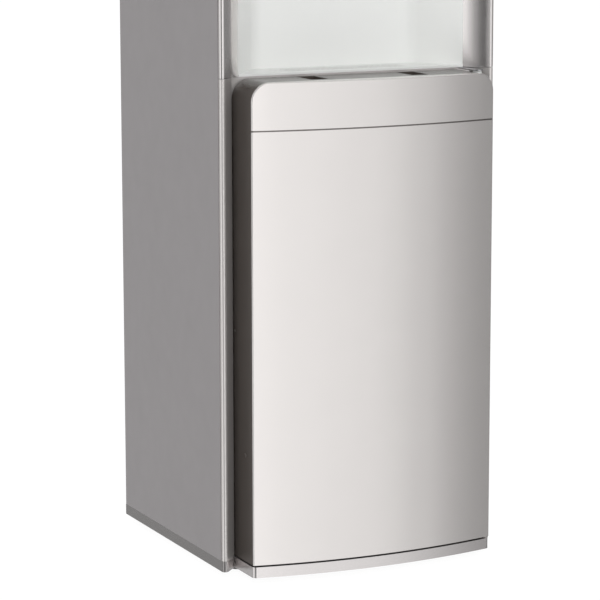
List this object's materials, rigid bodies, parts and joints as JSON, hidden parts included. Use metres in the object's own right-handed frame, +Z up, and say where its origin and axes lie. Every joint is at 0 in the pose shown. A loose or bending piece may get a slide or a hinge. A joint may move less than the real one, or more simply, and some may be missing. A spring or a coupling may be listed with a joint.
{
  "type": "bottom load water cooler",
  "caption": "Tall free-standing water cooler with a bowed bottle-bay door, a dispensing alcove with nozzles and buttons, and a rear condenser.",
  "frame": {"origin": "on the floor, under the middle of the whole object", "axes": "+Z up, -Y the front with the door, +X the right-hand side as the user sees it"},
  "size_m": [0.338, 0.3627, 1.048],
  "materials": {
    "painted_steel": "satin silver-grey paint",
    "silver_plastic": "satin silver lacquer on plastic",
    "silver_front": "pearl silver coating",
    "dark_plastic": "fine-grained, satin",
    "light_plastic": "fine-grained, satin",
    "black_gloss": "gloss",
    "clear_lens": "clear gloss",
    "rubber": "matte",
    "bare_steel": "brushed",
    "galvanised": "zinc plated",
    "black_metal": "satin black enamel",
    "copper": "drawn copper tube",
    "foam": "moulded foam",
    "hose": "translucent silicone",
    "red_plastic": "gloss",
    "blue_plastic": "gloss",
    "board": "solder mask"
  },
  "bodies": {
    "cabinet": {"base_pan": "silver_plastic", "bottle_tray": "dark_plastic", "left_side_panel": "painted_steel", "right_side_panel": "painted_steel", "lower_front_frame": "silver_plastic", "upper_front_frame": "silver_plastic", "lower_rear_panel": "galvanised", "upper_rear_panel": "painted_steel", "panel_screws": "galvanised", "machine_shelf": "galvanised", "tank_shelf": "galvanised", "lower_hinge_pin": "bare_steel", "upper_hinge_bracket": "bare_steel", "catch_magnet": "dark_plastic", "alcove_liner": "light_plastic", "alcove_light": "clear_lens", "cold_nozzle": "light_plastic", "room_nozzle": "light_plastic", "hot_nozzle": "light_plastic", "control_fascia": "silver_plastic", "fascia_insert": "black_gloss", "indicator_lenses": "clear_lens", "control_board": "board", "top_cover": "silver_plastic", "compressor": "black_metal", "compressor_grommets": "rubber", "cold_tank": "bare_steel", "tank_insulation": "foam", "hot_tank": "bare_steel", "hot_tank_jacket": "foam", "water_pump": "dark_plastic", "delivery_hoses": "hose", "nozzle_hoses": "hose", "refrigerant_pipes": "copper", "condenser": "black_metal", "probe_hook": "dark_plastic", "power_inlet": "black_gloss", "switch_housings": "black_gloss"},
    "door": {"door_frame": "dark_plastic", "door_front_skin": "silver_front", "door_top_band": "silver_front", "finger_cups": "dark_plastic", "door_inner_panel": "dark_plastic", "hinge_bushes": "light_plastic", "catch_strike": "bare_steel"},
    "left_foot": {"levelling_foot_left": "dark_plastic"},
    "right_foot": {"levelling_foot_right": "dark_plastic"},
    "tray": {"drip_tray": "light_plastic"},
    "grille": {"drip_grille": "light_plastic"},
    "cold_key": {"cold_button": "blue_plastic"},
    "room_key": {"room_button": "light_plastic"},
    "hot_key": {"hot_button": "red_plastic"},
    "child_lock": {"child_lock_slider": "red_plastic"},
    "cold_rocker": {"cold_switch": "black_gloss"},
    "hot_rocker": {"hot_switch": "red_plastic"},
    "light_rocker": {"light_switch": "black_gloss"},
    "drain_plug": {"drain_cap": "light_plastic"},
    "probe": {"probe_rod": "light_plastic", "probe_cap": "light_plastic", "probe_hose": "hose"}
  },
  "joints": [
    {"name": "door_hinge", "type": "hinge", "parent": "cabinet", "child": "door", "pos_m": [0.1405, -0.13986, 0.0222], "axis": [0, 0, 1], "range_deg": [0, 95]},
    {"name": "left_foot_turn", "type": "hinge", "parent": "cabinet", "child": "left_foot", "pos_m": [-0.13, -0.08286, 0.005], "axis": [0, 0, 1], "continuous": true},
    {"name": "right_foot_turn", "type": "hinge", "parent": "cabinet", "child": "right_foot", "pos_m": [0.13, -0.08286, 0.005], "axis": [0, 0, 1], "continuous": true},
    {"name": "tray_lift", "type": "slide", "parent": "cabinet", "child": "tray", "axis": [0, 0, 1], "range_m": [0, 0.04]},
    {"name": "grille_lift", "type": "slide", "parent": "tray", "child": "grille", "axis": [0, 0, 1], "range_m": [0, 0.03]},
    {"name": "cold_button_push", "type": "slide", "parent": "cabinet", "child": "cold_key", "axis": [0, 1, 0], "range_m": [0, 0.003], "stiffness_N_per_m": 400},
    {"name": "room_button_push", "type": "slide", "parent": "cabinet", "child": "room_key", "axis": [0, 1, 0], "range_m": [0, 0.003], "stiffness_N_per_m": 400},
    {"name": "hot_button_push", "type": "slide", "parent": "cabinet", "child": "hot_key", "axis": [0, 1, 0], "range_m": [0, 0.003], "stiffness_N_per_m": 400},
    {"name": "child_lock_slide", "type": "slide", "parent": "cabinet", "child": "child_lock", "axis": [1, 0, 0], "range_m": [0, 0.008]},
    {"name": "cold_switch_rock", "type": "hinge", "parent": "cabinet", "child": "cold_rocker", "pos_m": [0.062, 0.16414, 0.905], "axis": [0, 0, 1], "range_deg": [-8, 8]},
    {"name": "hot_switch_rock", "type": "hinge", "parent": "cabinet", "child": "hot_rocker", "pos_m": [0.092, 0.16414, 0.905], "axis": [0, 0, 1], "range_deg": [-8, 8]},
    {"name": "light_switch_rock", "type": "hinge", "parent": "cabinet", "child": "light_rocker", "pos_m": [0.122, 0.16414, 0.905], "axis": [0, 0, 1], "range_deg": [-8, 8]},
    {"name": "drain_cap_turn", "type": "hinge", "parent": "cabinet", "child": "drain_plug", "pos_m": [0.092, 0.17014, 0.78], "axis": [0, 1, 0], "continuous": true},
    {"name": "probe_lift", "type": "slide", "parent": "cabinet", "child": "probe", "axis": [0, 0, 1], "range_m": [0, 0.012], "deforming": ["probe_hose"]}
  ]
}
